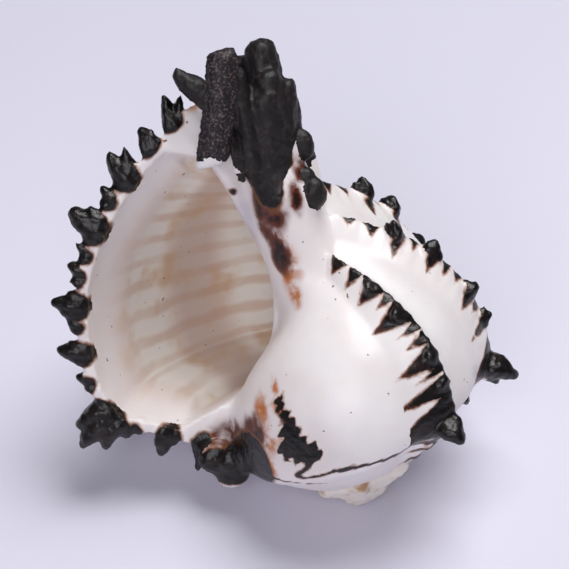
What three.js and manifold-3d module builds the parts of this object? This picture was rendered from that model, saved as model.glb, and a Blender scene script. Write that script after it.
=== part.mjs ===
// A murex shell: a low-spired, globose sea snail shell with eight rows of spines to each whorl.
// The shell is one piece. It is built round its coiling axis, with the tip of the spire at the
// origin and the siphonal canal up along +Z, and then turned to lie as it comes to rest.
//
// The shell grows as a spiral: every section is the one before it, turned about the axis and
// enlarged. A place on it is a turn back from the outer lip (0 at the lip), a radius from the
// axis and a height above the tip, both as they would be at full size.

import * as THREE from 'three';
import { LoftGeometry } from 'three/addons/geometries/LoftGeometry.js';
import { mergeVertices } from 'three/addons/utils/BufferGeometryUtils.js';
import Module from 'manifold-3d';

// Driving dimensions, in millimetres and degrees.
const WHORL_RATIO = 2.1;          // how much larger the shell gets in one whorl
const VARIX_STEP = 45;            // degrees from one row of spines, an old outer lip, to the next
const VARIX_COUNT = 20;           // varices from the lip to the worn tip of the spire
const VARIX_RISE = 3.2;           // height of a varix over the shell between varices
const VARIX_BACK = 20;            // degrees over which a varix rises, on its older side
const VARIX_FRONT = 4;            // degrees over which it drops, on the side of the lip
const CALLUS = { from: 240, to: 262, end: 372, drop: 1.2 };   // smooth glaze over old varices
const SEGMENT_VARICES = 4;        // varices in one loft of whorl
const NOSE_TURN = 8;              // degrees that a loft reaches into the one before it
const NOSE_SIZE = 0.6;            // size of its end there, against the whole section
const STRETCH = [0, 8, 20, 41];   // degrees past a varix at which a section is drawn
const SECTION_POINTS = 15;        // points round the outside of a section
const SUTURE_SHARE = 0.15;        // share of the section next to the suture that stays level
const HALVINGS = 30;              // steps of the search for a height on the crest
const HOLLOW_TURN = 292;          // degrees that the hollow runs back from the lip
const HOLLOW_STEP = 14;           // degrees between sections of the hollow
const HOLLOW_POINTS = 9;          // points on the outer wall of the hollow
const HOLLOW_SHARE = [0.1, 0.86]; // stretch of the section that the outer wall of the hollow follows
const HOLLOW_END = 0.4;           // size of the closed end of the hollow, against its section
const LIP_WALL = 2.4;             // thickness of the lip
const DEEP_WALL = 6;              // depth of the hollow below the crests, behind the flare of the lip
const FLARE_TURN = 20;            // degrees over which the hollow flares out to the lip
const REST_ANGLES = [-24.7, -14.5, -173.5];  // lean back, lean aside and turn about the axis, at rest

// Outside of the whorl at a varix, as radius and height, from the suture to the canal.
const CREST = [
  [22, 18.5], [29, 22.5], [35.5, 26.5], [41, 30], [43, 36], [43, 43], [42, 50], [39.8, 57],
  [36, 63.5], [31, 69.5], [26, 74], [20.5, 77.8], [15.5, 81], [11.5, 83.5],
];
// Inner side of the same section, from the canal back to the suture.
const CORE = [[2, 82], [1.2, 62], [1.2, 45], [10, 33], [17, 19.5]];
// Inner side of the hollow, from its corner at the canal down the columella and the old whorl.
const INNER_SIDE = [
  [11.5, 72.5], [10, 68], [8.4, 61], [6.7, 53], [6.8, 46], [9.5, 37.6], [13.8, 31.5], [18.6, 28.5],
];
// Column on the axis with the calloused inner lip on it, as radius and height.
const COLUMN = [[0, 1], [2, 4], [4, 22], [6, 40], [6.2, 50], [6.2, 60], [5.6, 70], [5.8, 88], [0, 90.5]];
const COLUMN_SIDES = 16;

// Spines on a varix, from the suture to the canal. Each stands at a height on the crest, and its
// tip leans towards the canal. The minor ones stand only on the outer lip.
const SPINES = [
  { height: 18.8, length: 5.5, width: 6, lean: -2, minor: true },
  { height: 21, length: 6, width: 5.5, lean: -0.5, minor: false },
  { height: 24.4, length: 4.6, width: 5.5, lean: 0, minor: false },
  { height: 27.6, length: 2.6, width: 4, lean: 0, minor: true },
  { height: 31, length: 7.6, width: 9, lean: -1, minor: false },
  { height: 38.5, length: 1.8, width: 4, lean: 0.6, minor: true },
  { height: 44.5, length: 3.6, width: 6.5, lean: 1, minor: false },
  { height: 49.5, length: 1.8, width: 3.6, lean: 0.6, minor: true },
  { height: 53.5, length: 3.8, width: 6.5, lean: 0.8, minor: false },
  { height: 58.5, length: 2.2, width: 4.4, lean: 0.6, minor: true },
  { height: 62, length: 2, width: 3.6, lean: 0.6, minor: true },
  { height: 66.3, length: 4.8, width: 7, lean: 1, minor: false },
  { height: 70.5, length: 2, width: 4, lean: 0.6, minor: true },
  { height: 74, length: 3.8, width: 6.5, lean: 2, minor: false },
  { height: 78, length: 2.4, width: 4.4, lean: 1, minor: true },
  { height: 81.5, length: 3.4, width: 5, lean: 3, minor: true },
];
const SPINE_TAPER = [[-3, 1], [0, 0.95], [0.6, 0.72], [1, 0.34]];  // reach and size of its rings
const SPINED_VARICES = 6;         // varices with a whole row of spines
const OLD_LENGTH = 0.5;           // length of the worn spines behind the lip, against new ones
const SHOULDER_SPINE = 4;         // the spine that stays long on old varices
const SPIRE_SPINES = 12;          // varices up the spire that keep a worn shoulder spine
const GLAZED_VARICES = [6, 7];    // varices that the glaze of the inner lip has buried
// Corners of a spine's section, across it and back from the lip, in half widths.
const GUTTER = [[-1, 0], [0, 0.7], [1, 0], [0.9, 1.1], [0, 1.6], [-0.9, 1.1]];

// Canal: the ends of the present and older canals stand round the column like fingers.
const FINGER_COUNT = 5;
const FINGER = { root: [6, 66], tip: [9.5, 92], radius: 4.2 };
const FINGER_TAPER = [[0, 1.1], [0.5, 1], [0.9, 0.9], [1, 0.6]];   // reach and size of its rings
const FINGER_SIDES = 8;
// The plate that closes the canal in front, as its middle, half width and half depth.
const PLATE = [
  { middle: [10.8, 4.6, 70.5], half: [2.4, 1.6] }, { middle: [10.2, 5, 73], half: [2.9, 2.2] },
  { middle: [5, 5.4, 88], half: [2.8, 2.2] }, { middle: [3.7, 5.2, 92], half: [2.2, 1.6] },
];
// Corners of the plate's section, in half widths and half depths.
const PLATE_CORNERS = [
  [-1, -0.6], [-0.6, -1], [0.6, -1], [1, -0.6], [1, 0.6], [0.6, 1], [-0.6, 1], [-1, 0.6],
];
// The bore of the canal, from the hollow to the tip, as its middle and radius, and its slit.
const BORE = [[[13, 0, 70], 2], [[7.5, 0.4, 76], 1.7], [[4.5, 1, 86], 1.5], [[3, 1.4, 96], 1.5]];
const BORE_SIDES = 6;
const SLIT = { foot: [5.4, 72], head: [0.6, 94], width: 0.9, depth: [0, 10] };

const wasm = await Module();
wasm.setup();

const { degToRad, lerp, smoothstep } = THREE.MathUtils;
const growth = (turn) => WHORL_RATIO ** (-turn / 360);

// A point of the shell from its turn back from the lip, full-size radius and full-size height.
function place(turn, radius, height) {
  const angle = -degToRad(turn);
  const point = new THREE.Vector3(radius * Math.cos(angle), radius * Math.sin(angle), height);
  return point.multiplyScalar(growth(turn));
}

// How far a varix has risen at this turn: 1 on its crest and 0 between varices.
function ridge(turn) {
  const past = turn % VARIX_STEP;
  const back = 1 - smoothstep(past, 0, VARIX_BACK);
  const front = 1 - smoothstep(VARIX_STEP - past, 0, VARIX_FRONT);
  return Math.max(back, front);
}

// How far the surface lies below the crests. The callus fills the gaps that it runs over.
function drop(turn) {
  const open = VARIX_RISE * (1 - ridge(turn));
  const glazed = smoothstep(turn, CALLUS.from, CALLUS.to) * (turn < CALLUS.end ? 1 : 0);
  return lerp(open, CALLUS.drop, glazed);
}

const crestCurve = new THREE.SplineCurve(CREST.map(([radius, height]) => new THREE.Vector2(radius, height)));

// A point on the crest, moved in by a depth.
function below(along, depth) {
  const point = crestCurve.getPoint(along);
  const tangent = crestCurve.getTangent(along);
  return [point.x - tangent.y * depth, point.y + tangent.x * depth];
}

// The section of the whorl: its outside between the crests, level at the suture, and its core.
function section(turn) {
  const points = [];
  for (let i = 0; i < SECTION_POINTS; i++) {
    const along = i / (SECTION_POINTS - 1);
    points.push(below(along, drop(turn) * smoothstep(along, 0, SUTURE_SHARE)));
  }
  return [...points, ...CORE];
}

function hollowSection(turn) {
  const depth = lerp(LIP_WALL, DEEP_WALL, smoothstep(turn, 0, FLARE_TURN));
  const points = [];
  for (let i = 0; i < HOLLOW_POINTS; i++) {
    points.push(below(lerp(...HOLLOW_SHARE, i / (HOLLOW_POINTS - 1)), depth));
  }
  return [...points, ...INNER_SIDE];
}

function ring(turn, points) {
  return points.map(([radius, height]) => place(turn, radius, height));
}

function shrink(points, share) {
  const middle = new THREE.Vector3();
  points.forEach((point) => middle.addScaledVector(point, 1 / points.length));
  return points.map((point) => point.clone().lerp(middle, 1 - share));
}

// A closed geometry as a solid that can be joined and cut.
function solid(geometry) {
  const bare = new THREE.BufferGeometry();
  bare.setAttribute('position', geometry.attributes.position);
  bare.setIndex(geometry.index);
  const merged = mergeVertices(bare, 1e-4);
  const vertProperties = new Float32Array(merged.attributes.position.array);
  const triVerts = new Uint32Array(merged.index.array);
  return new wasm.Manifold(new wasm.Mesh({ numProp: 3, vertProperties, triVerts }));
}

// A solid through rings of points, each counterclockwise as seen from the last ring.
function loft(rings) {
  return solid(new LoftGeometry(rings, { closed: true, capStart: true, capEnd: true }));
}

// One stretch of whorl, from one varix to another. A small nose reaches into the stretch before.
function whorl(first, last) {
  const rings = [];
  if (first > 0) {
    const turn = first * VARIX_STEP - NOSE_TURN;
    rings.push(shrink(ring(turn, section(turn)), NOSE_SIZE));
  }
  for (let i = first; i < last; i++) {
    for (const past of STRETCH) {
      const turn = i * VARIX_STEP + past;
      rings.push(ring(turn, section(turn)));
    }
  }
  rings.push(ring(last * VARIX_STEP, section(last * VARIX_STEP)));
  return loft(rings);
}

function whorls() {
  const stretches = [];
  for (let first = 0; first < VARIX_COUNT; first += SEGMENT_VARICES) {
    stretches.push(whorl(first, first + SEGMENT_VARICES));
  }
  return stretches;
}

function column() {
  const profile = COLUMN.map(([radius, height]) => new THREE.Vector2(radius, height));
  const geometry = new THREE.LatheGeometry(profile, COLUMN_SIDES);
  geometry.rotateX(Math.PI / 2);
  return solid(geometry);
}

function hollow() {
  const rings = [];
  for (let turn = -HOLLOW_STEP / 2; turn < HOLLOW_TURN; turn += HOLLOW_STEP) {
    rings.push(ring(turn, hollowSection(turn)));
  }
  rings.push(shrink(ring(HOLLOW_TURN, hollowSection(HOLLOW_TURN)), HOLLOW_END));
  return loft(rings);
}

// How far along the crest a height lies, found by halving.
function alongAt(height) {
  let low = 0;
  let high = 1;
  for (let i = 0; i < HALVINGS; i++) {
    const middle = (low + high) / 2;
    if (crestCurve.getPoint(middle).y < height) low = middle;
    else high = middle;
  }
  return low;
}

// A spine: a tapering scroll with an open gutter down the side that faces the lip.
function spine(turn, { height, length, width, lean }, share) {
  const along = alongAt(height);
  const point = crestCurve.getPoint(along);
  const tangent = crestCurve.getTangent(along);
  const back = place(turn + 90, 1, 0).normalize().multiplyScalar(growth(turn));
  const rings = SPINE_TAPER.map(([part, size]) => {
    const reach = part < 0 ? part : part * length * share;
    const bend = Math.max(part, 0) ** 2 * lean * share;
    const centre = place(turn, point.x + tangent.y * reach, point.y - tangent.x * reach + bend);
    const side = place(turn, tangent.x, tangent.y);
    const half = (width / 2) * size;
    return GUTTER.map(([across, deep]) => {
      return centre.clone().addScaledVector(side, across * half).addScaledVector(back, deep * half);
    });
  });
  return loft(rings);
}

function spineRows() {
  const spines = [];
  for (let i = 0; i < SPIRE_SPINES; i++) {
    if (GLAZED_VARICES.includes(i)) continue;
    for (const [index, shape] of SPINES.entries()) {
      const shoulder = index === SHOULDER_SPINE;
      const kept = i === 0 || shoulder || (i < SPINED_VARICES && !shape.minor);
      const fresh = i === 0 || (i < SPINED_VARICES && shoulder);
      if (kept) spines.push(spine(i * VARIX_STEP, shape, fresh ? 1 : OLD_LENGTH));
    }
  }
  return spines;
}

function circle(middle, radius, sides) {
  const points = [];
  for (let i = 0; i < sides; i++) {
    const angle = (i / sides) * 2 * Math.PI;
    points.push(new THREE.Vector3(radius * Math.cos(angle), radius * Math.sin(angle), 0).add(middle));
  }
  return points;
}

// The end of an old canal, standing off the column.
function finger(turn) {
  const rings = FINGER_TAPER.map(([share, size]) => {
    const radius = lerp(FINGER.root[0], FINGER.tip[0], share);
    const height = lerp(FINGER.root[1], FINGER.tip[1], share);
    return circle(place(turn, radius, height), FINGER.radius * size * growth(turn), FINGER_SIDES);
  });
  return loft(rings);
}

function fingers() {
  const ends = [];
  for (let i = 1; i < FINGER_COUNT; i++) ends.push(finger(i * VARIX_STEP));
  return ends;
}

function plate() {
  return loft(PLATE.map(({ middle, half }) => {
    const [across, deep] = half;
    const centre = new THREE.Vector3(...middle);
    return PLATE_CORNERS.map(([x, y]) => new THREE.Vector3(x * across, y * deep, 0).add(centre));
  }));
}

function bore() {
  return loft(BORE.map(([middle, radius]) => circle(new THREE.Vector3(...middle), radius, BORE_SIDES)));
}

function slit() {
  const { foot, head, width, depth } = SLIT;
  const [back, front] = depth;
  return loft([foot, head].map(([x, z]) => [
    new THREE.Vector3(x, back, z), new THREE.Vector3(x + width, back, z),
    new THREE.Vector3(x + width, front, z), new THREE.Vector3(x, front, z),
  ]));
}

// The outer surface alone, which fills the gaps left between one whorl and the next.
function filled(body) {
  return body.decompose().reduce((largest, next) => (next.volume() > largest.volume() ? next : largest));
}

function shell() {
  const grown = [column(), ...whorls(), ...spineRows(), ...fingers(), plate()];
  const open = [hollow(), bore(), slit()];
  const whole = filled(grown.reduce((body, next) => body.add(next)));
  return filled(open.reduce((body, next) => body.subtract(next), whole));
}

function toGeometry(body) {
  const { vertProperties, triVerts } = body.getMesh();
  const geometry = new THREE.BufferGeometry();
  geometry.setAttribute('position', new THREE.BufferAttribute(vertProperties, 3));
  geometry.setIndex(new THREE.BufferAttribute(triVerts, 1));
  geometry.computeVertexNormals();
  return geometry;
}

const porcelain = new THREE.MeshStandardMaterial({ color: 0xefebe4, roughness: 0.35, metalness: 0 });
const shellMesh = new THREE.Mesh(toGeometry(shell()), porcelain);
shellMesh.name = 'murex_shell';

// The shell stands over the origin, with its lowest points at the height of the origin.
const group = new THREE.Group();
group.add(shellMesh);
group.rotation.set(...REST_ANGLES.map(degToRad));
const bounds = new THREE.Box3().setFromObject(group, true);
const middle = bounds.getCenter(new THREE.Vector3());
group.position.set(-middle.x, -middle.y, -bounds.min.z);
group.updateMatrixWorld(true);

export default group;
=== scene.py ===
import math
import random

import bmesh
import bpy
import numpy as np
from mathutils import Matrix, Vector, noise
from mathutils.bvhtree import BVHTree


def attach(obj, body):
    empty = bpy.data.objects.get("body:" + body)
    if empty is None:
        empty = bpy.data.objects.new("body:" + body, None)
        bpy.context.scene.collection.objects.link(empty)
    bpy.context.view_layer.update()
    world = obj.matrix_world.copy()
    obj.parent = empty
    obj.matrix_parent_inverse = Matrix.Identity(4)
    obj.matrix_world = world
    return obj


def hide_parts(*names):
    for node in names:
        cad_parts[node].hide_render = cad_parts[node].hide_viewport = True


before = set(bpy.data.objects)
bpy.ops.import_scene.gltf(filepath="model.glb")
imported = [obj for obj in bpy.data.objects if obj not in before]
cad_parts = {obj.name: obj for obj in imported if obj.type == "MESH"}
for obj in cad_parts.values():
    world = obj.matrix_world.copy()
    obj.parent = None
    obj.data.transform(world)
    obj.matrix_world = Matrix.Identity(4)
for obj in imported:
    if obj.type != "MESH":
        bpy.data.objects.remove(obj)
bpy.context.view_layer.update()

# ---------------------------------------------------------------------------------------------
# The whorls: one tube of shell, wound round an axis, that grows 2.1 times larger in each turn.
# It is built with the tip of the spire at the origin and the canal up +Z, in millimetres. A place
# on it is a turn back from the outer lip, in degrees, and a full-size radius and height.
# ---------------------------------------------------------------------------------------------
RATIO = 2.1               # how much larger the shell gets in one whorl
VARIX_STEP = 45.0         # degrees from one row of spines, an old lip, to the next
VARIX_RISE = 3.2          # how far a varix stands over the shell between varices
VARIX_BACK = 20.0         # degrees over which it rises, on its older side
VARIX_FRONT = 4.0         # degrees over which it drops, towards the lip
TIP_TURN = 1440.0         # the tip of the spire
CALLUS = (240.0, 262.0, 372.0, 1.2)   # the glaze starts, is full, ends; and its depth
SUTURE_SHARE = 0.15       # share of the outline next to the suture that stays level
LIP_WALL = 1.9            # thickness of the edge of the lip
DEEP_WALL = 6.0           # depth of the hollow below the crests, behind the flare
FLARE_TURN = 20.0         # degrees over which the hollow flares out to the lip
HOLLOW_TURN = 292.0       # degrees that the hollow runs back
HOLLOW_SHARE = (0.1, 0.86)            # the stretch of the outline that bounds the hollow
# The crest of the newest varix, from the suture to the canal, as radius and height.
CREST = [
    (22, 18.5), (29, 22.5), (35.5, 26.5), (41, 30), (43, 36), (43, 43), (42, 50), (39.8, 57),
    (36, 63.5), (31, 69.5), (26, 74), (20.5, 77.8), (15.5, 81), (11.5, 83.5),
]
# The side of the outline next to the axis, buried in the column and the earlier whorl.
CORE = [
    (6.5, 83.2), (2, 82), (1.2, 72), (1.2, 62), (1.2, 52), (1.2, 45), (5, 39), (10, 33), (14, 26),
    (17, 19.5),
]
# The side of the hollow next to the axis, from the canal down to the corner of the mouth.
INNER_SIDE = [
    (11.9, 74), (11.5, 72.5), (10, 68), (8.4, 61), (6.7, 53), (6.8, 46), (9.5, 37.6), (13.8, 31.5),
    (18.6, 28.5),
]


def growth(turn):
    return RATIO ** (-turn / 360.0)


def smooth(value, low, high):
    share = np.clip((value - low) / (high - low), 0.0, 1.0)
    return share * share * (3 - 2 * share)


def through(points, count):
    """Points on a smooth curve through the given ones, evenly spread over its stretches."""
    knots = np.array([points[0], *points, points[-1]], float)
    at = np.linspace(0, len(points) - 1, count)
    first = np.minimum(at.astype(int), len(points) - 2)
    t = (at - first)[:, None]
    a, b, c, d = (knots[first + i] for i in range(4))
    curve = 2 * a - 5 * b + 4 * c - d
    return 0.5 * (2 * b + (c - a) * t + curve * t ** 2 + (3 * b - a - 3 * c + d) * t ** 3)


OUTLINE = through(CREST, 521)
STEPS = np.gradient(OUTLINE, axis=0)
TANGENT = STEPS / np.linalg.norm(STEPS, axis=1)[:, None]
LENGTH = np.concatenate([[0], np.cumsum(np.linalg.norm(np.diff(OUTLINE, axis=0), axis=1))])


def outline_at(share):
    """Point and outward normal of the crest's outline, at a share of its stretches."""
    at = np.linspace(0, 1, len(OUTLINE))
    point = np.array([np.interp(share, at, OUTLINE[:, i]) for i in (0, 1)])
    along = np.array([np.interp(share, at, TANGENT[:, i]) for i in (0, 1)])
    return point, np.array([along[1], -along[0]])


def place(turn, radius, height):
    """A point of the shell from its turn and its full-size radius and height."""
    angle = -math.radians(turn)
    return Vector((radius * math.cos(angle), radius * math.sin(angle), height)) * growth(turn)


def direction(turn, radial, upward):
    angle = -math.radians(turn)
    return Vector((radial * math.cos(angle), radial * math.sin(angle), upward))


def ridge(turn):
    """1 on the crest of a varix, 0 between varices."""
    past = turn % VARIX_STEP
    return np.maximum(1 - smooth(past, 0, VARIX_BACK), 1 - smooth(VARIX_STEP - past, 0, VARIX_FRONT))


def drop(turn):
    """How far the shell lies below its crests at this turn."""
    start, full, end, glazed = CALLUS
    cover = smooth(turn, start, full) * (1 - smooth(turn, end - 8, end))
    return VARIX_RISE * (1 - ridge(turn)) * (1 - cover) + glazed * cover


def ring_of(bm, points, shares):
    """A closed ring of vertices at the lip. Each keeps its share of the outline, or -1."""
    share = bm.verts.layers.float["share"]
    verts = []
    for (radius, height), at in zip(points, shares):
        vert = bm.verts.new((radius, 0, height))
        vert[share] = at
        verts.append(vert)
    return [bm.edges.new(pair) for pair in zip(verts, verts[1:] + verts[:1])]


def wind(bm, edges, turns, role):
    """Grow a ring of edges back along the spiral, and close its far end."""
    turned = bm.verts.layers.float["turn"]
    before = len(bm.faces)
    for last, turn in zip(turns, turns[1:]):
        grown = bmesh.ops.extrude_edge_only(bm, edges=edges)["geom"]
        verts = [item for item in grown if isinstance(item, bmesh.types.BMVert)]
        edges = [item for item in grown if isinstance(item, bmesh.types.BMEdge)]
        step = Matrix.Scale(growth(turn - last), 4) @ Matrix.Rotation(-math.radians(turn - last), 4, "Z")
        bmesh.ops.transform(bm, matrix=step, verts=verts)
        for vert in verts:
            vert[turned] = turn
    bmesh.ops.contextual_create(bm, geom=edges)
    bm.faces.ensure_lookup_table()
    for face in bm.faces[before:]:
        face.material_index = role


OUTSIDE, HOLLOW, COLUMN, SPINE, CANAL, LUMP, PLATED = range(7)   # what each face belongs to
CREST_POINTS = 84
HOLLOW_POINTS = (60, 40)              # points on the outer and the inner side of the hollow
FLARE_LIFT = 0.3                      # how far the hollow stands out again at the lip
turns = [*np.arange(0, 450, 2.5), *np.arange(450, 900, 5), *np.arange(900, TIP_TURN + 1, 9)]
hollow_turns = [0, 0.8, 2, *np.arange(4, 30, 2), *np.arange(30, HOLLOW_TURN, 4)]

body = bmesh.new()
for layer in ("share", "turn"):
    body.verts.layers.float.new(layer)
crest_shares = np.linspace(0, 1, CREST_POINTS)
crest_points = [outline_at(at)[0] for at in crest_shares]
outer = ring_of(body, [*crest_points, *CORE], [*crest_shares, *[-1] * len(CORE)])
wind(body, outer, turns, OUTSIDE)

hollow_shares = np.linspace(*HOLLOW_SHARE, HOLLOW_POINTS[0])
wall_points = []
for at in hollow_shares:
    point, normal = outline_at(at)
    wall_points.append(point - normal * LIP_WALL)
inner_points = through([wall_points[-1], *INNER_SIDE, wall_points[0]], HOLLOW_POINTS[1])[1:-1]
inner = ring_of(body, [*wall_points, *inner_points], [*hollow_shares, *[-1] * len(inner_points)])
wind(body, inner, hollow_turns, HOLLOW)

# The relief: gaps sink between the varices, and the hollow sinks behind the flare of the lip.
share_layer = body.verts.layers.float["share"]
turn_layer = body.verts.layers.float["turn"]
for vert in body.verts:
    at, turn = vert[share_layer], vert[turn_layer]
    if at < 0:
        continue
    in_hollow = any(face.material_index == HOLLOW for face in vert.link_faces)
    if in_hollow:
        depth = (DEEP_WALL - LIP_WALL) * smooth(turn, -4, FLARE_TURN) - FLARE_LIFT
    else:
        depth = drop(turn) * smooth(at, 0, SUTURE_SHARE)
    normal = outline_at(at)[1]
    vert.co -= direction(turn, *normal) * float(depth * growth(turn))
bmesh.ops.triangle_fill(
    body, edges=[edge for edge in body.edges if edge.is_boundary], normal=(0, 1, 0), use_beauty=True,
)

# ---------------------------------------------------------------------------------------------
# The column: the solid pillar on the axis that every whorl winds round. The inner lip is glazed
# on to it, so it is one smooth turned shape. It is spun from its profile.
# ---------------------------------------------------------------------------------------------
COLUMN_PROFILE = [
    (0, 1), (2, 4), (4, 22), (6, 40), (6.2, 50), (6.2, 60), (5.6, 67), (4.6, 74), (4.2, 80), (3.4, 84),
    (0, 85),
]
column_verts = [body.verts.new((radius, 0, height)) for radius, height in through(COLUMN_PROFILE, 40)]
column_edges = [body.edges.new(pair) for pair in zip(column_verts, column_verts[1:])]
before = len(body.faces)
bmesh.ops.spin(
    body, geom=column_verts + column_edges, axis=(0, 0, 1), cent=(0, 0, 0), steps=32,
    angle=math.tau, use_merge=True,
)
body.faces.ensure_lookup_table()
for face in body.faces[before:]:
    face.material_index = COLUMN

# ---------------------------------------------------------------------------------------------
# The spines: where the lip paused, its edge folded into a row of short, blunt, black scrolls.
# Each is a few fused lobes side by side, grown from the crest of its varix as tapering tubes.
# ---------------------------------------------------------------------------------------------
# Height on the crest, length, width, lean of the tip towards the canal, and whether it is minor.
SPINES = [
    (18.8, 4.5, 5, -2, 1), (21, 5, 4.6, -0.5, 0), (24.4, 4, 5, 0, 0), (27.6, 2.4, 3.4, 0, 1),
    (31, 7.4, 8.6, -1, 0), (38.5, 1.8, 3.6, 0.6, 1), (44.5, 3.8, 5.4, 1, 0), (49.5, 1.9, 3.2, 0.6, 1),
    (53.5, 4.1, 6.2, 0.8, 0), (58.5, 2.3, 4.0, 0.6, 1), (62, 2.2, 3.4, 0.6, 1), (66.3, 5, 6.8, 1, 0),
    (70.5, 2.4, 3.9, 0.6, 1), (74, 4.8, 6.2, 2.2, 0), (78, 3.2, 5, 1, 1), (81.2, 4.2, 5.4, 3, 1),
]
OLD_LENGTH = (1, 0.75, 0.65, 0.62, 0.62, 0.12)   # length of each row's spines, against new ones
SHOULDER_LENGTH = (1, 1, 1, 1, 1, 0.7)         # the same for the shoulder spine, the largest
SHOULDER = 4
GLAZED_ROWS = (6, 7)      # rows that the glaze of the inner lip has buried
SPIRE_SPINES = 12         # varices up the spire that keep a worn shoulder spine
WORN_LENGTH = 0.4         # length of those worn spines, against new ones
WIDE_SPINE = 4.2          # width past which a spine has three lobes and not two
# A lobe as reach along its spine, and size, from the root inside the shell to the blunt end.
LOBE = [(-2.2, 0.85), (-0.5, 1.0), (0.25, 0.93), (0.5, 0.80), (0.72, 0.63), (0.9, 0.43), (1.0, 0.2)]
chance = random.Random(7)


def share_at(height):
    return float(np.interp(height, OUTLINE[:, 1], np.linspace(0, 1, len(OUTLINE))))


def tube(bm, frames, sides, role, turn):
    """A closed tube through frames that each place a unit circle."""
    turned = bm.verts.layers.float["turn"]
    before = len(bm.faces)
    start = bmesh.ops.create_circle(bm, cap_ends=True, segments=sides, radius=1, matrix=frames[0])["verts"]
    face = start[0].link_faces[0]
    verts = list(start)
    for last, here in zip(frames, frames[1:]):
        grown = bmesh.ops.extrude_face_region(bm, geom=[face])["geom"]
        face = next(item for item in grown if isinstance(item, bmesh.types.BMFace))
        moved = [item for item in grown if isinstance(item, bmesh.types.BMVert)]
        bmesh.ops.transform(bm, verts=moved, matrix=here @ last.inverted())
        verts += moved
    for vert in verts:
        vert[turned] = turn
    bm.faces.ensure_lookup_table()
    for part in bm.faces[before:]:
        part.material_index = role
    return verts


def frame_at(centre, side, back, width, depth):
    """A frame with its circle across the side and back directions."""
    normal = side.cross(back)
    rows = Matrix((side * width, back * depth, normal)).transposed().to_4x4()
    return Matrix.Translation(centre) @ rows


def grow_spine(bm, turn, height, length, width, lean, fresh):
    """A spine of two or three lobes, one longer than the rest, curled a little and fused."""
    point, normal = outline_at(share_at(height))
    side = direction(turn, -normal[1], normal[0]).normalized()
    out = direction(turn, *normal).normalized()
    back = direction(turn + 90, 1, 0)
    size = growth(turn)
    count = 3 if width > WIDE_SPINE else 2
    for lobe in range(count):
        across = (lobe - (count - 1) / 2) / max(count - 1, 1)
        main = lobe == count // 2
        reach = length * fresh * (1.08 if main else chance.uniform(0.4, 0.75))
        fan = across * width * chance.uniform(0.0, 0.25) + lean * chance.uniform(0.6, 1.3)
        round_by = width * (0.35 if main else 0.24) * chance.uniform(0.9, 1.12)
        deep = round_by * chance.uniform(1.0, 1.35)
        sink = chance.uniform(0.0, 0.35) * round_by
        frames = []
        for part, grown in LOBE:
            far = part if part < 0 else part * reach
            bend = max(part, 0) ** 1.6
            radius, level = point + normal * far
            centre = place(turn, radius, level)
            centre += side * size * (across * width * 0.5 + fan * bend)
            centre += back * size * (deep * 0.9 - sink)
            frames.append(frame_at(centre, side, back, round_by * grown * size, deep * grown * size))
        tube(bm, frames, 10, SPINE, turn)


for row in range(SPIRE_SPINES):
    for index, (height, length, width, lean, minor) in enumerate(SPINES):
        shoulder = index == SHOULDER
        spined = row < len(OLD_LENGTH)
        if row in GLAZED_ROWS or not (row == 0 or shoulder or (spined and not minor)):
            continue
        lengths = SHOULDER_LENGTH if shoulder else OLD_LENGTH
        fresh = lengths[row] if spined else WORN_LENGTH
        grow_spine(body, row * VARIX_STEP, height, length, width, lean, fresh)

# ---------------------------------------------------------------------------------------------
# The canal: the siphon's spout. The ends of older canals stand round the column like fingers,
# and a plate closes the present one in front, with a narrow slit beside it.
# ---------------------------------------------------------------------------------------------
FINGER_TURNS = (45, 90, 135)
FINGER_ROOT = (6, 66)
FINGER_TIP = (9.5, 92)
FINGER_RADIUS = 4.2
# A finger, and a scale, as shares of their length and size from the root up.
FINGER = [(0, 1.1), (0.3, 1.06), (0.5, 1), (0.75, 0.96), (0.9, 0.9), (0.97, 0.78), (1, 0.6)]
# The plate as its middle, half width and half depth, from the foot up.
PLATE = [
    ((10.7, 4.6, 73.2), 2.6, 1.2), ((10.5, 4.9, 74.0), 3.0, 1.8), ((9.3, 5.2, 77), 2.9, 2.0),
    ((7.4, 5.3, 81), 3.0, 2.0), ((5.2, 5.4, 87.4), 2.8, 2.0), ((4.2, 5.4, 91.2), 2.6, 1.9),
    ((3.7, 5.2, 92.6), 2.0, 1.4),
]
PLATE_SWELL = 1.1         # the plate is this much fuller than its eight-sided frame
# The scales on the front and right of the column, each as its root, its top, and its half width
# and half depth: leftovers of older canals, broken off at different heights.
SCALES = [
    ((5.6, 2.2, 70), (2.6, 3.2, 86.0), 2.0, 1.6), ((3.9, 4.3, 70.5), (2.3, 4.8, 88.6), 1.7, 1.9),
    ((0.2, 3.2, 69.5), (-2.6, 3.4, 86.6), 2.9, 2.2), ((-1.2, 0.0, 69), (-2.8, 0.2, 91.4), 3.1, 2.9),
    ((-2.4, 2.2, 70.5), (-5.6, 1.8, 83.8), 2.0, 2.4), ((-3.4, 0.2, 69), (-5.9, 0.6, 79.8), 1.6, 2.4),
    ((0.6, 3.8, 68.5), (-1.4, 5.2, 83.5), 2.9, 1.6), ((3.0, -2.0, 69), (1.0, -2.6, 89.0), 3.0, 2.4),
]
SCALE = [(0, 0.9), (0.3, 1.0), (0.6, 1.04), (0.85, 1.0), (0.95, 0.86), (1.0, 0.55)]
# The tube between the plate and the last spines of the lip.
SPOUT_SPINE = [
    ((6.2, 1.2, 82.2), 2.6), ((9.0, 0.8, 85.2), 2.4), ((11.4, 0.5, 87.9), 1.9),
    ((12.9, 0.3, 89.8), 1.1),
]
SPOUT_SIDE = Vector((0.64, 0, -0.77))   # across that tube
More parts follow.
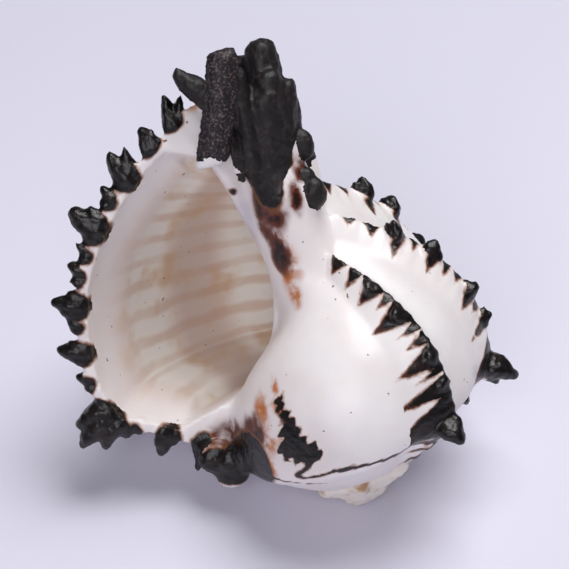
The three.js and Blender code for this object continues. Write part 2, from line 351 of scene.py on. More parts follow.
# Lumps of pigment, as middle and half sizes: three knobs beside the canal, and then a heap where
# the outer lip meets the old whorl.
LUMPS = [
    ((-5.9, 2.2, 71.8), (1.8, 1.8, 2.9)), ((-5.3, 3.6, 63.2), (2.4, 2.1, 3.0)),
    ((-4.7, 3.0, 66.4), (1.7, 1.6, 1.7)),
    ((20.6, 2.2, 17.6), (4.4, 2.6, 3.6)), ((24.4, 0.9, 18.6), (3.6, 2.4, 3.4)),
    ((17.6, 4.6, 18.8), (3.4, 2.8, 3.0)), ((22.4, 1.4, 14.6), (3.2, 2.2, 2.6)),
]
RIGHT = Vector((1, 0, 0))
DEPTH = Vector((0, 1, 0))

for turn in FINGER_TURNS:
    frames = []
    for part, grown in FINGER:
        radius = FINGER_ROOT[0] + (FINGER_TIP[0] - FINGER_ROOT[0]) * part
        height = FINGER_ROOT[1] + (FINGER_TIP[1] - FINGER_ROOT[1]) * part
        wide = FINGER_RADIUS * grown * growth(turn)
        frames.append(frame_at(place(turn, radius, height), RIGHT, DEPTH, wide, wide))
    tube(body, frames, 12, CANAL, turn)

for root, top, wide, deep in SCALES:
    root, top = Vector(root), Vector(top)
    frames = []
    for part, grown in SCALE:
        frames.append(frame_at(root.lerp(top, part), RIGHT, DEPTH, wide * grown, deep * grown))
    tube(body, frames, 12, CANAL, 0)

plate_frames = []
for at, wide, deep in PLATE:
    plate_frames.append(frame_at(Vector(at), RIGHT, DEPTH, wide * PLATE_SWELL, deep * PLATE_SWELL))
tube(body, plate_frames, 8, PLATED, 0)
spout = [frame_at(Vector(at), SPOUT_SIDE, DEPTH, wide, wide) for at, wide in SPOUT_SPINE]
tube(body, spout, 10, CANAL, 0)

for middle, half in LUMPS:
    before = len(body.faces)
    sizes = Matrix.Translation(middle) @ Matrix.Diagonal((*half, 1))
    bmesh.ops.create_icosphere(body, subdivisions=3, radius=1, matrix=sizes)
    body.faces.ensure_lookup_table()
    for face in body.faces[before:]:
        face.material_index = LUMP

# ---------------------------------------------------------------------------------------------
# The skin: the shell is one piece, so every tube and lump fuses into one closed surface. Glaze is
# laid over the inner lip coat by coat, and then the black parts, the plate and the worn spire get
# their fine relief.
# ---------------------------------------------------------------------------------------------
GRAIN = 0.45              # size of a facet of the fused skin
FACET_LIMIT = 190000      # triangles kept
GLAZE_COATS = 110         # passes that let the glaze flow into the crease beside the column
GLAZE_FLOW = 0.6          # share of the way that a point moves in one coat
GLAZE_EDGE = 4            # passes that soften the edge of the glaze
GLAZE_TURNS = (244, 262, 372, 400)    # turns where the glaze starts, is full, thins and ends
GLAZE_FOOT = 15           # height at which it ends on the whorl
GLAZE_TOP = 63            # and on the column, whose front it covers
GLAZE_BACK = -3
MOUTH_GLAZE = (4, 12)     # degrees over which it thins out behind the lip

body.faces.ensure_lookup_table()
body.verts.ensure_lookup_table()
bmesh.ops.triangulate(body, faces=body.faces[:])
body.faces.ensure_lookup_table()
body.verts.ensure_lookup_table()
part_tree = BVHTree.FromBMesh(body)
part_role = np.array([face.material_index for face in body.faces])
part_plate = part_role == PLATED
part_role[part_plate] = CANAL
part_turn = np.array([sum(vert[turn_layer] for vert in face.verts) / 3 for face in body.faces])

raw = bpy.data.meshes.new("whorl_parts")
body.to_mesh(raw)
body.free()


def finished(mesh, *modifiers):
    """The mesh with these modifiers applied."""
    holder = bpy.data.objects.new("holder", mesh)
    bpy.context.scene.collection.objects.link(holder)
    for kind, settings in modifiers:
        modifier = holder.modifiers.new(kind, kind)
        for name, value in settings.items():
            setattr(modifier, name, value)
    evaluated = holder.evaluated_get(bpy.context.evaluated_depsgraph_get())
    result = bpy.data.meshes.new_from_object(evaluated)
    bpy.data.objects.remove(holder)
    return result


def points_of(mesh, what="co"):
    """The places of a mesh's vertices, or their normals."""
    values = np.empty(len(mesh.vertices) * 3)
    if what == "co":
        mesh.vertices.foreach_get("co", values)
    else:
        mesh.vertex_normals.foreach_get("vector", values)
    return values.reshape(-1, 3)


skin = finished(
    raw,
    ("REMESH", {"mode": "VOXEL", "voxel_size": GRAIN, "adaptivity": 0.0}),
    ("SMOOTH", {"factor": 0.5, "iterations": 2}),
)


CHUNK = 20000             # points measured against the outline at a time


def survey(points):
    """Role, turn, length along the crest and height over it, for each point of the skin."""
    nearest = [part_tree.find_nearest(Vector(point))[2] for point in points]
    role = part_role[nearest]
    near = part_turn[nearest]
    raw_turn = -np.degrees(np.arctan2(points[:, 1], points[:, 0]))
    turn = raw_turn + 360 * np.round((near - raw_turn) / 360)
    size = RATIO ** (-turn / 360)
    flat = np.stack([np.hypot(points[:, 0], points[:, 1]), points[:, 2]], axis=1) / size[:, None]
    along = np.empty(len(points))
    over = np.empty(len(points))
    for start in range(0, len(points), CHUNK):
        part = flat[start:start + CHUNK]
        gap = ((part[:, None, :] - OUTLINE[None, ::2, :]) ** 2).sum(axis=2)
        best = gap.argmin(axis=1) * 2
        off = part - OUTLINE[best]
        tangent = TANGENT[best]
        along[start:start + CHUNK] = LENGTH[best] + (off * tangent).sum(axis=1)
        over[start:start + CHUNK] = off[:, 0] * tangent[:, 1] - off[:, 1] * tangent[:, 0]
    return role, turn, along, over, size, part_plate[nearest]


def rough(points, scale, seed=0.0):
    """Smooth noise from -1 to 1, with lumps of the given size."""
    shift = Vector((seed, seed * 1.7, seed * 2.3))
    return np.array([noise.noise(Vector(point) / scale + shift) for point in points])


# Each spine's place on the crest, width and rank, for the black that it leaves on its varix.
SPINE_PLACES = np.array([np.interp(row[0], OUTLINE[:, 1], LENGTH) for row in SPINES])
SPINE_WIDTHS = np.array([row[2] for row in SPINES])
SPINE_MINOR = np.array([row[4] for row in SPINES])
LIP_EDGE = 3.4            # degrees of the lip that the black of its spines covers
MARKED_ROWS = 26          # varices that carry black, up to the tip
MARK_REACH = (13, 7)      # degrees that black runs back behind a main and a minor spine
MARK_HALF = (0.47, 0.42)  # its half width there, against the width of the spine
MARK_TAPER = 1.3          # how its point narrows: 1 is straight, more is rounder
MARK_DEPTH = 3            # depth into the black past which it makes no difference
FLUSH_ROW = 5             # the varix beside the glaze, where the black lies flush and wide
FLUSH_SCALE, OLD_SCALE = 1.2, 0.85    # size of the marks on that row, and reach on the others
SHOULDER_MARK, FLUSH_SHOULDER_MARK = (16, 4.8), (37, 6.6)     # reach, half width
LEANING_ROWS = (4, 5)     # rows whose shoulder mark slants towards the canal
LEAN_SLOPE, LEAN_SHIFT = -0.16, 4.0
LEAN_HALF, FLUSH_LEAN_HALF = 6.8, 8.2
INWARD = (3.0, 1.7)       # how far a main and a minor spine's black runs in over the lip
BARE = -9.0               # depth given to places that hold no black


def black_field(role, turn, along, over, size):
    """Signed distance into the black and into its brown fringe, in mm: above 0 is inside."""
    field = np.full(len(turn), BARE)
    fringe = np.full(len(turn), BARE)
    row = np.floor((turn + VARIX_FRONT) / VARIX_STEP).astype(int)
    past = turn - row * VARIX_STEP
    draw = random.Random(11)
    for varix in range(MARKED_ROWS):
        on = row == varix
        flush = varix == FLUSH_ROW
        for index, (place_at, width, minor) in enumerate(zip(SPINE_PLACES, SPINE_WIDTHS, SPINE_MINOR)):
            reach = MARK_REACH[minor] * draw.uniform(0.75, 1.25) * (FLUSH_SCALE if flush else OLD_SCALE)
            half = width * MARK_HALF[minor] * draw.uniform(0.9, 1.15) * (FLUSH_SCALE if flush else 1)
            if index == SHOULDER and flush:
                reach, half = FLUSH_SHOULDER_MARK
            elif index == SHOULDER:
                reach, half = SHOULDER_MARK[0] * draw.uniform(0.9, 1.1), SHOULDER_MARK[1]
            slope = draw.uniform(-0.06, 0.06)
            if not on.any():
                continue
            tau = np.clip(past[on], 0, None)
            if index == SHOULDER and varix in LEANING_ROWS:
                slope, place_at = LEAN_SLOPE, SPINE_PLACES[SHOULDER] + LEAN_SHIFT
                half = FLUSH_LEAN_HALF if flush else LEAN_HALF
            middle = place_at + slope * tau
            taper = 1 - (tau / reach) ** MARK_TAPER
            longer = 1 - (tau / (reach * 1.25 + 1.0)) ** MARK_TAPER
            side = np.abs(along[on] - middle)
            here = np.minimum(half * taper - side, MARK_DEPTH)
            wide = np.minimum((half + 0.1) * longer - side, MARK_DEPTH)
            if varix:
                here = np.minimum(here, past[on] + 1.6)
                wide = np.minimum(wide, past[on] + 1.9)
            else:
                lip = past[on] < LIP_EDGE
                inward = np.minimum(over[on] - 0.4, 0) / INWARD[minor]
                blunt = (1 - np.hypot((along[on] - place_at) / half, inward)) * half
                here = np.where(lip, blunt, here)
                wide = np.where(lip, blunt + 0.35, wide)
            field[on] = np.maximum(field[on], here)
            fringe[on] = np.maximum(fringe[on], wide)
    inside = (role == HOLLOW) & (turn > LIP_EDGE)
    spine = (role == SPINE) & (over > 0.4)
    covered = (turn > CALLUS[0] + 6) & (role != CANAL)
    for pigment, edge in ((field, -0.4), (fringe, 0.1)):
        pigment[inside] = BARE
        pigment[spine] = np.maximum(pigment[spine], over[spine] + edge)
        pigment[covered] = BARE
    return field * size, fringe * size


# Strokes of pigment on the front, where the glaze ran over an old varix and along the shoulder.
# Each is a line of turns and full-size heights on the crest, a half width in millimetres, the
# depth of its teeth, and how far its brown edge reaches past it.
STROKES = [
    ([(300, 62), (304, 58), (299, 54)], 0.5, 0.6, 0.6),
    ([(303, 60), (298, 55), (295, 51)], 1.1, 2.1, 0.5),
    ([(299, 50), (295, 46), (292, 41)], 3.2, 2.6, 0.5),
    ([(301, 45), (295, 42.5), (290, 42)], 3.4, 2.6, 0.5),
    ([(290, 40), (294, 36.5), (300, 34), (298, 32), (290, 32), (281, 32.6)], 0.65, 0.1, 0.3),
    ([(318, 34), (312, 30.5), (305, 29), (298, 27.5), (290, 26)], 0.4, 1.0, 0.2),
    ([(281, 32.6), (272, 31.8), (264, 30.5), (255, 29), (246, 28), (236, 27), (228, 26)], 0.95, 1.1, 0.3),
]
# Spots, as middle, half sizes and kind: pigment that is black, umber (dark red-brown) or amber, or a
# grey-lilac painted shade where the inner lip turns into the top of the mouth.
SPOTS = [
    ((20.6, 2.2, 16.6), (6.0, 6.0, 3.6), "black"), ((24.8, 0.6, 17.6), (5.0, 6.0, 3.4), "black"),
    ((17.4, 4.0, 17.6), (3.4, 6.0, 3.6), "black"),
    ((17.8, 11.0, 20.2), (3.6, 6.6, 5.4), "black"), ((17.0, 11.5, 24.0), (4.2, 7.0, 6.4), "umber"),
    ((14.6, 16.0, 24.6), (2.4, 4.4, 6.0), "amber"), ((13.6, 14.2, 31.4), (1.7, 4.4, 6.4), "amber"),
    ((15.4, 15.4, 19.8), (2.2, 4.0, 3.6), "amber"), ((3.6, 4.8, 63.0), (5.0, 4.6, 7.5), "umber"),
    ((19.5, 8.5, 19.3), (4.8, 7.4, 4.4), "black"), ((21.0, 5.0, 22.4), (8.6, 10.0, 4.4), "umber"),
    ((15.6, 13.4, 26.0), (1.9, 5.0, 5.0), "umber"), ((14.3, 13.6, 30.0), (1.7, 4.0, 6.0), "amber"),
    ((14.6, 15.1, 26.0), (1.2, 4.0, 5.0), "amber"), ((10.6, 15.0, 34.5), (1.0, 4.0, 3.6), "amber"),
    ((12.6, 17.0, 25.5), (2.6, 4.0, 2.2), "amber"), ((11.2, 16.4, 31.0), (2.2, 4.0, 1.6), "amber"),
    ((4.6, 4.4, 62.6), (3.6, 4.0, 8.5), "umber"), ((3.4, 5.2, 54.0), (3.0, 3.6, 5.0), "umber"),
    ((-1.8, 5.4, 63.6), (1.8, 3.4, 4.6), "umber"), ((2.6, 5.4, 46.5), (1.7, 3.4, 4.6), "amber"),
    ((3.0, 5.6, 52.5), (3.8, 3.6, 8.0), "amber"), ((15.6, 6.6, 17.4), (3.2, 6.0, 3.8), "black"),
    ((14.6, 9.6, 24.0), (1.7, 5.0, 6.4), "umber"), ((14.2, 12.6, 27.5), (1.8, 5.0, 5.6), "amber"),
    # The grey-lilac spot here is painted shade, at the top of the mouth beside the column.
    ((-4.4, 4.0, 68.4), (2.6, 3.0, 3.6), "umber"), ((7.4, 0.4, 60.0), (1.8, 3.0, 9.0), "painted_lilac_shade"),
    ((9.6, 5.6, 70.8), (3.2, 3.0, 1.1), "amber"),
    ((11.0, 0.8, 83.5), (3.6, 4.0, 2.4), "amber"), ((2.4, 5.4, 67.0), (2.6, 4.5, 4.0), "black"),
    ((8.4, 0.0, 66.3), (0.45, 1.4, 0.45), "black"),
]
STROKE_TURNS = (215, 330) # the turns that strokes lie on
DEGREE = 0.70             # full-size millimetres across the whorl in one degree of turn
TOOTH = 4.4               # millimetres from one tooth of a stroke to the next
CANAL_FOOT = 64.6         # height at which the canal turns black, in a tongue down its front
TONGUE = (1.0, 3.0)       # the sides of that tongue
TONGUE_RISE = 1.5         # how fast its edge climbs on each side, and how high it is behind
CANAL_RADIUS = 7.2        # how far from the axis that black reaches
SLIT = ((4.9, 3.6, 78.5), (0.9, 2.4, 4.2))    # the pale patch in the slit beside the plate


def mm_distance(turn, along, path):
    """Distance on the skin from a path of turns and heights, in full-size millimetres."""
    here = np.stack([turn * DEGREE, along], axis=1)
    line = [(t * DEGREE, float(np.interp(h, OUTLINE[:, 1], LENGTH))) for t, h in path]
    best = np.full(len(turn), 99.0)
    for first, last in zip(line, line[1:]):
        first, last = np.array(first), np.array(last)
        run = last - first
        share = np.clip(((here - first) @ run) / (run @ run), 0, 1)
        best = np.minimum(best, np.linalg.norm(here - first - share[:, None] * run, axis=1))
    return best


def painted(points, role, turn, along, over, size):
    """The pigments: depths into black and fringe, shares of the browns and of a painted grey-lilac shade,
    depth into the canal.
    """
    black, fringe = black_field(role, turn, along, over, size)
    stroked = (role != HOLLOW) & (turn > STROKE_TURNS[0]) & (turn < STROKE_TURNS[1])
    wobble = rough(points, 1.6, 12)
    mottle = 0.85 + 0.6 * rough(points, 2.4, 14)
    for path, half, teeth, edge in STROKES:
        reach = mm_distance(turn, along, path)
        saw = np.abs((along / TOOTH + turn * 0.11 + 0.3 * wobble) % 1 - 0.5) * 2
        depth = half + teeth * (saw - 0.4) - reach + half * 0.35 * wobble
        black = np.where(stroked, np.maximum(black, depth * size), black)
        fringe = np.where(stroked, np.maximum(fringe, (depth + edge) * size), fringe)
    shares = {kind: np.zeros(len(points)) for kind in ("umber", "amber", "painted_lilac_shade")}
    for middle, half, kind in SPOTS:
        off = (points - np.array(middle)) / np.array(half)
        depth = 1 - np.linalg.norm(off, axis=1)
        if kind == "black":
            black = np.maximum(black, depth * min(half))
            fringe = np.maximum(fringe, depth * min(half) + 0.3)
        else:
            shares[kind] = np.maximum(shares[kind], np.clip(depth * 1.5 * mottle, 0, 1))
    front = points[:, 1] > 0
    foot = CANAL_FOOT + 1.3 * rough(points, 2.6, 6)
    foot += np.where(front, np.clip(points[:, 0] - TONGUE[1], 0, 6) * TONGUE_RISE, TONGUE_RISE)
    foot += np.where(front, np.clip(TONGUE[0] - points[:, 0], 0, 6) * TONGUE_RISE, 0.0)
    near_axis = (np.hypot(points[:, 0], points[:, 1]) < CANAL_RADIUS) & (role != HOLLOW)
    canal = np.where(near_axis, points[:, 2] - foot, BARE)
    canal = np.where((role == CANAL) & (points[:, 2] > foot + 1), np.maximum(canal, 1.5), canal)
    canal = np.where((role == LUMP) & (points[:, 2] > 50), 2.0, canal)
    pale = np.linalg.norm((points - np.array(SLIT[0])) / np.array(SLIT[1]), axis=1) - 1
    canal = np.minimum(canal, np.where(role == CANAL, -BARE, pale))
    black = np.maximum(black, canal)
    fringe = np.maximum(fringe, canal + 0.3 + 1.2 * rough(points, 3.0, 21))
    return black, fringe, shares, canal


points = points_of(skin)
role, turn, along, over, size, plate = survey(points)
start, full, thins, gone = GLAZE_TURNS
on_whorl = smooth(turn, start, full) * (1 - smooth(turn, thins, gone)) * (points[:, 2] > GLAZE_FOOT)
on_column = (points[:, 2] < GLAZE_TOP) * (points[:, 1] > GLAZE_BACK)
in_mouth = (role == HOLLOW) * (1 - smooth(turn, *MOUTH_GLAZE)) * (over < -9)
glaze = np.where(role == OUTSIDE, on_whorl, np.where(role == COLUMN, on_column, in_mouth))
pairs = np.empty(len(skin.edges) * 2, dtype=np.int64)
skin.edges.foreach_get("vertices", pairs)
ends = np.concatenate([pairs.reshape(-1, 2), pairs.reshape(-1, 2)[:, ::-1]])
degree = np.bincount(ends[:, 0], minlength=len(points))
for _ in range(GLAZE_EDGE):
    glaze = np.bincount(ends[:, 0], glaze[ends[:, 1]], len(points)) / degree
for _ in range(GLAZE_COATS):
    for axis in range(3):
        around = np.bincount(ends[:, 0], points[ends[:, 1], axis], len(points)) / degree
        points[:, axis] += glaze * GLAZE_FLOW * (around - points[:, axis])
skin.vertices.foreach_set("co", points.ravel())
skin.update()
normals = points_of(skin, "normal")
black, fringe, shares, canal = painted(points, role, turn, along, over, size)
dark = smooth(black, -0.1, 0.7)
outer_skin = (role == OUTSIDE) | (role == SPINE)
low_black = (outer_skin & (over < 0.8) & (turn > 4 * VARIX_STEP)) | (canal > 0)
worn = smooth(turn, 400, 560) * outer_skin
grooved = points * np.array((1.0, 1.0, 0.22))
# The relief, as where it lies and how high it stands, the size of its lumps, and a seed.
RELIEF = [
    (dark * np.where(low_black, 0.10, 0.26), points, 1.6, 0),
    (dark * np.where(low_black, 0.08, 0.14), points, 0.75, 5),
    ((canal > 0) * 0.16, points, 2.2, 3), ((canal > 0) * 0.12, points, 0.8, 9),
    ((role == CANAL) * 0.16, grooved, 0.9, 7),
    (plate * 0.16, points, 0.7, 5), (plate * 0.10, points, 0.45, 2),
    (worn * 0.35, points, 2.2, 2), (worn * 0.2, points, 0.9, 4),
    ((role != HOLLOW) * 0.06, points, 3.0, 8),
]
CORD_HEIGHT, CORD_STEP = 0.14, 4.2    # low cords that cross the newer varices
lift = outer_skin * CORD_HEIGHT * size * ridge(turn) * (turn < 240) * np.cos(along * math.tau / CORD_STEP)
for height, at, lump, seed in RELIEF:
    lift += height * rough(at, lump, seed)
points += normals * lift[:, None]
skin.vertices.foreach_set("co", points.ravel())
skin.update()

facets = sum(len(face.vertices) - 2 for face in skin.polygons)
skin = finished(skin, ("DECIMATE", {"ratio": min(1.0, FACET_LIMIT / facets)}))
skin.name = "murex_shell_skin"

# ---------------------------------------------------------------------------------------------
# The pattern: the animal laid pigment down in bands while it grew, so every place of the skin
# keeps its depth into the black, its share of each brown, and its turn and length on the whorl.
# It also keeps its share of a painted grey-lilac shade at the top of the mouth.
points = points_of(skin)
role, turn, along, over, size, plate = survey(points)
black, fringe, shares, canal = painted(points, role, turn, along, over, size)
bare_spire = (role != HOLLOW) & (role != COLUMN) & (role != CANAL)
traits = {
    "black": black,
    "fringe": fringe,
    "inner": np.where(role == HOLLOW, smooth(turn, 3, 28), 0.0),
    "canal": smooth(canal, -0.3, 0.5),
    "plate": plate.astype(float),
    **shares,
    "worn": smooth(turn, 380, 560) * bare_spire,
    "turn": turn,
    "along": along,
}
for name, values in traits.items():
    trait = skin.attributes.new(name, "FLOAT", "POINT")
    trait.data.foreach_set("value", np.ascontiguousarray(values, dtype=np.float32))

# ---------------------------------------------------------------------------------------------
# The shell as it lies: nothing holds it, so it comes to rest on the tip of its spire and two
# shoulder spines, with its mouth up and to the front. Its faces are turned to point outwards.
# ---------------------------------------------------------------------------------------------
LEAN_BACK, LEAN_ASIDE, TURN_ABOUT = -24.7, -14.5, -173.5
SEAT = (14.603, -18.444, -0.880)
rest = (
    Matrix.Translation(SEAT)
    @ Matrix.Rotation(math.radians(LEAN_BACK), 4, "X")
    @ Matrix.Rotation(math.radians(LEAN_ASIDE), 4, "Y")
    @ Matrix.Rotation(math.radians(TURN_ABOUT), 4, "Z")
)
MM = 0.001
skin.transform(Matrix.Scale(MM, 4) @ rest)
shell = bpy.data.objects.new("murex_shell_skin", skin)
bpy.context.scene.collection.objects.link(shell)
facing = bmesh.new()
facing.from_mesh(skin)
bmesh.ops.recalc_face_normals(facing, faces=facing.faces)
facing.to_mesh(skin)
facing.free()
for face in skin.polygons:
    face.use_smooth = True

# ---------------------------------------------------------------------------------------------
# Glazed shell: aragonite laid down by the animal, smooth as porcelain, with a little light let in
# at the thin parts. The pigment in the spines and the canal is black with a brown fringe, dull
# where the shell is rough, and the worn spire is chalky.
# ---------------------------------------------------------------------------------------------
def linear(text):
    channels = [int(text[i:i + 2], 16) / 255 for i in (0, 2, 4)]
    return (*[c / 12.92 if c <= 0.04045 else ((c + 0.055) / 1.055) ** 2.4 for c in channels], 1)


finish = bpy.data.materials.new("glazed_shell_with_black_pigment")
finish.use_nodes = True
tree = finish.node_tree
tree.nodes.clear()


def add_node(kind, inputs, output=0, **settings):
    """A node with its settings, its inputs linked or set by name or place, and one output."""
    node = tree.nodes.new("ShaderNode" + kind)
    for name, value in settings.items():
        setattr(node, name, value)
    for at, value in inputs.items() if isinstance(inputs, dict) else enumerate(inputs):
        if isinstance(value, bpy.types.NodeSocket):
            tree.links.new(value, node.inputs[at])
        else:
            node.inputs[at].default_value = value
    return node.outputs[output] if node.outputs else None


# Noise in the finish, as the size of its lumps in millimetres and its detail.
GRAINS = {
    "ragged": (1.923, 5), "tone": (16.67, 3), "wander": (11.11, 2), "patch": (14.29, 3),
    "cloud": (9.091, 3), "chalk": (3.846, 5), "flame": (2.381, 4), "fleck": (1.333, 2),
    "pitch": (2.0, 4), "soot": (1.111, 5), "speckle": (0.4348, 5), "growth": (6.25, 4),
    "pit": (0.8333, 5),
}
BAND_STEP = 6.614         # millimetres from one brown band inside to the next
SHADE_STEP = 44.88        # degrees from one darker stretch inside to the next, behind the varices
SHADE_START = 0.6
LINE_STEP = 1.7453        # degrees between growth lines, 1.3 mm at the lip
SOFT = {"interpolation_type": "SMOOTHSTEP"}
COLOURED = {"data_type": "RGBA"}
object_place = add_node("TexCoord", {}, "Object")
trait = {name: add_node("Attribute", {}, "Fac", attribute_name=name) for name in traits}
grain = {}
for name, (lump, detail) in GRAINS.items():
    settings = {"Vector": object_place, "Scale": 1 / (lump * MM), "Detail": detail}
    grain[name] = add_node("TexNoise", settings, "Fac")

# Edges of the black and of its fringe, ragged by the noise.
ragged = add_node("Math", [grain["ragged"], 0.5], operation="SUBTRACT")
black_depth = add_node("Math", [ragged, 0.8, trait["black"]], operation="MULTIPLY_ADD")
fringe_depth = add_node("Math", [ragged, 1.3, trait["fringe"]], operation="MULTIPLY_ADD")
black_share = add_node("MapRange", [black_depth, -0.05, 0.12], **SOFT)
fringe_share = add_node("MapRange", [fringe_depth, -0.35, 0.4], **SOFT)

# Flames of amber and umber, broken up by the noise.
flames = {}
for kind, limits in {"amber": [0.3, 0.62, 0.25, 1.0], "umber": [0.28, 0.6, 0.5, 1.0]}.items():
    broken = add_node("MapRange", [grain["flame"], *limits], **SOFT)
    flames[kind] = add_node("Math", [trait[kind], broken], operation="MULTIPLY")

# Inside: bands round the whorl, and a darker stretch behind each buried varix.
wander = add_node("Math", [grain["wander"], 4.0, trait["along"]], operation="MULTIPLY_ADD")
band_angle = add_node("Math", [wander, math.tau / BAND_STEP], operation="MULTIPLY")
band = add_node("Math", [band_angle], operation="SINE")
shade_place = [trait["turn"], math.tau / SHADE_STEP, SHADE_START]
shade_angle = add_node("Math", shade_place, operation="MULTIPLY_ADD")
shade = add_node("Math", [shade_angle], operation="SINE")

# Colours that drift between two tones: what drives them, from where to where, and the tones.
TONES = {
    "porcelain": (grain["tone"], 0.35, 0.7, "F4EEEC", "E9E0DE"),
    "beige": (shade, -0.8, 0.9, "FFF8EF", "E0CFC3"),
    "chalk": (grain["chalk"], 0.5, 0.75, "EDE5DB", "B08A60"),
    "umber": (flames["umber"], 0.5, 0.9, "6A3322", "1E0F0D"),
    "tan": (fringe_depth, -0.3, 0.5, "A8662F", "4A2210"),
    "pitch": (grain["pitch"], 0.45, 0.75, "0B0706", "251813"),
    "soot": (grain["soot"], 0.52, 0.8, "110B0A", "382A28"),
    "speckled": (grain["speckle"], 0.5, 0.66, "150E10", "5E4F52"),
}
tone = {}
for name, (driver, low, high, first, second) in TONES.items():
    share = add_node("MapRange", [driver, low, high], **SOFT)
    tone[name] = add_node("Mix", {0: share, 6: linear(first), 7: linear(second)}, 2, **COLOURED)

banded = add_node("MapRange", [band, -0.2, 0.95], **SOFT)
patchy = add_node("MapRange", [grain["patch"], 0.3, 0.62, 0.12, 0.5], **SOFT)
clouded = add_node("MapRange", [grain["cloud"], 0.52, 0.72, 0.0, 0.6], **SOFT)
canal_black = add_node("Mix", {0: trait["plate"], 6: tone["soot"], 7: tone["speckled"]}, 2, **COLOURED)
all_black = add_node("Mix", {0: trait["canal"], 6: tone["pitch"], 7: canal_black}, 2, **COLOURED)

# The colours of the inside, then of the outside, each laid over the last by its share.
colour = tone["beige"]
LAYERS = [
    (add_node("Math", [banded, patchy], operation="MULTIPLY"), linear("D2AD93")),
    (clouded, linear("D8B07C")),
    (add_node("Math", [1.0, trait["inner"]], operation="SUBTRACT"), tone["porcelain"]),
    (trait["worn"], tone["chalk"]),
    (add_node("MapRange", [grain["fleck"], 0.735, 0.76], **SOFT), linear("8A7462")),
    # Painted shade: grey-lilac laid over the inner lip at the top of the mouth.
    (add_node("Math", [trait["painted_lilac_shade"], 0.7], operation="MULTIPLY"), linear("BDB4C2")),
    (add_node("MapRange", [flames["amber"], 0.0, 1.05], **SOFT), linear("C0702A")),
    (add_node("MapRange", [flames["umber"], 0.05, 0.6], **SOFT), tone["umber"]),
    (fringe_share, tone["tan"]),
    (black_share, all_black),
]
for share, laid in LAYERS:
    colour = add_node("Mix", {0: share, 6: colour, 7: laid}, 2, **COLOURED)

# Gloss: the glaze shines, the worn spire is dull, and the canal is duller than the spines.
white_dullness = add_node("MapRange", [trait["worn"], 0, 1, 0.32, 0.7], **SOFT)
black_dullness = add_node("MapRange", [trait["canal"], 0, 1, 0.30, 0.5], **SOFT)
dullness = add_node("Mix", {0: black_share, 2: white_dullness, 3: black_dullness}, data_type="FLOAT")

# Growth lines across the whorl, a faint silky ripple, and pits that are deepest in the black.
line_wander = add_node("Math", [grain["growth"], 9.0], operation="MULTIPLY")
line_angle = add_node("Math", [trait["turn"], math.tau / LINE_STEP, line_wander], operation="MULTIPLY_ADD")
line = add_node("Math", [line_angle], operation="SINE")
outside = add_node("Math", [1.0, trait["inner"]], operation="SUBTRACT")
line_height = add_node("Math", [outside, 0.015], operation="MULTIPLY")
lines = add_node("Math", [line, line_height], operation="MULTIPLY")
pit_depth = add_node("Math", [black_share, 0.15], operation="ADD")
pits = add_node("Math", [grain["pit"], pit_depth], operation="MULTIPLY")
height = add_node("Math", [pits, lines], operation="ADD")
bump = add_node("Bump", {"Strength": 0.5, "Distance": 0.25 * MM, "Height": height})
glazed = add_node("BsdfPrincipled", {
    "Base Color": colour, "Roughness": dullness, "Normal": bump, "IOR": 1.46,
    "Subsurface Weight": 0.3, "Subsurface Radius": (1.0, 0.75, 0.6), "Subsurface Scale": 4 * MM,
}, subsurface_method="RANDOM_WALK")
add_node("OutputMaterial", {"Surface": glazed})
skin.materials.clear()
skin.materials.append(finish)

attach(shell, "root")
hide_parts("murex_shell")

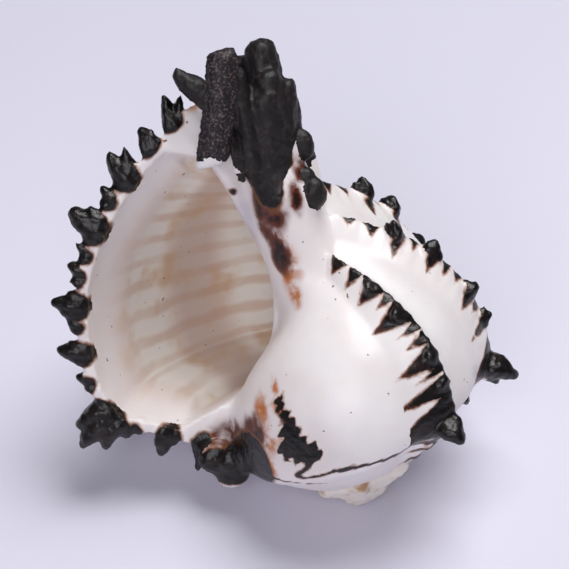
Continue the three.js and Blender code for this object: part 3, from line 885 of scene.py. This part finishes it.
# ---------------------------------------------------------------------------------------------
# The studio: a sheet of plain pale paper for a floor, a soft lamp above and behind, a weaker and
# wider one in front, and a camera with a long lens that looks down on the mouth.
# ---------------------------------------------------------------------------------------------
floor_bm = bmesh.new()
bmesh.ops.create_grid(floor_bm, x_segments=4, y_segments=4, size=1.5)
floor_mesh = bpy.data.meshes.new("studio_floor")
floor_bm.to_mesh(floor_mesh)
floor_bm.free()
floor = bpy.data.objects.new("studio_floor", floor_mesh)
bpy.context.scene.collection.objects.link(floor)
paper = bpy.data.materials.new("pale_studio_paper")
paper.use_nodes = True
paper.node_tree.nodes["Principled BSDF"].inputs["Base Color"].default_value = linear("E2E0EE")
paper.node_tree.nodes["Principled BSDF"].inputs["Roughness"].default_value = 0.8
floor_mesh.materials.append(paper)


def area_light(name, at, target, size, power, tint):
    lamp = bpy.data.lights.new(name, "AREA")
    lamp.shape = "DISK"
    lamp.size = size
    lamp.energy = power
    lamp.color = linear(tint)[:3]
    holder = bpy.data.objects.new(name, lamp)
    holder.location = at
    holder.rotation_euler = (Vector(target) - Vector(at)).to_track_quat("-Z", "Y").to_euler()
    bpy.context.scene.collection.objects.link(holder)


area_light("overhead_softbox", (0.10, 0.10, 0.50), (0, 0, 0.03), 0.34, 2.1, "FFFFFF")
area_light("front_fill", (-0.12, -0.56, 0.46), (0, 0, 0.04), 0.50, 2.0, "FBF8FF")
world = bpy.data.worlds.new("studio_air")
world.use_nodes = True
world.node_tree.nodes["Background"].inputs["Color"].default_value = linear("DFE2F0")
world.node_tree.nodes["Background"].inputs["Strength"].default_value = 0.16
bpy.context.scene.world = world
bpy.context.scene.view_settings.view_transform = "Standard"

CAMERA_RANGE = 380.0      # millimetres from the camera to the middle of the shell
SHELL_MIDDLE = (0, 0, 40) # that middle, before the shell is laid down
CAMERA_OUT = (-0.0036, -0.7102, 0.7040)       # from the shell to the camera
CAMERA_RIGHT = (1, 0, 0.0052)
SENSOR, LENS = 36, 132.232
CAMERA_SHIFT = (-0.0538, 0.0518)
middle = rest @ Vector(SHELL_MIDDLE)
view_out = Vector(CAMERA_OUT).normalized()
up = view_out.cross(Vector(CAMERA_RIGHT).normalized()).normalized()
right = up.cross(view_out).normalized()
camera = bpy.data.objects.new("camera", bpy.data.cameras.new("camera"))
turned = Matrix((right, up, view_out)).transposed().to_4x4()
camera.matrix_world = Matrix.Translation((middle + view_out * CAMERA_RANGE) * MM) @ turned
camera.data.sensor_width = SENSOR
camera.data.lens = LENS
camera.data.shift_x, camera.data.shift_y = CAMERA_SHIFT
bpy.context.scene.collection.objects.link(camera)
bpy.context.scene.camera = camera
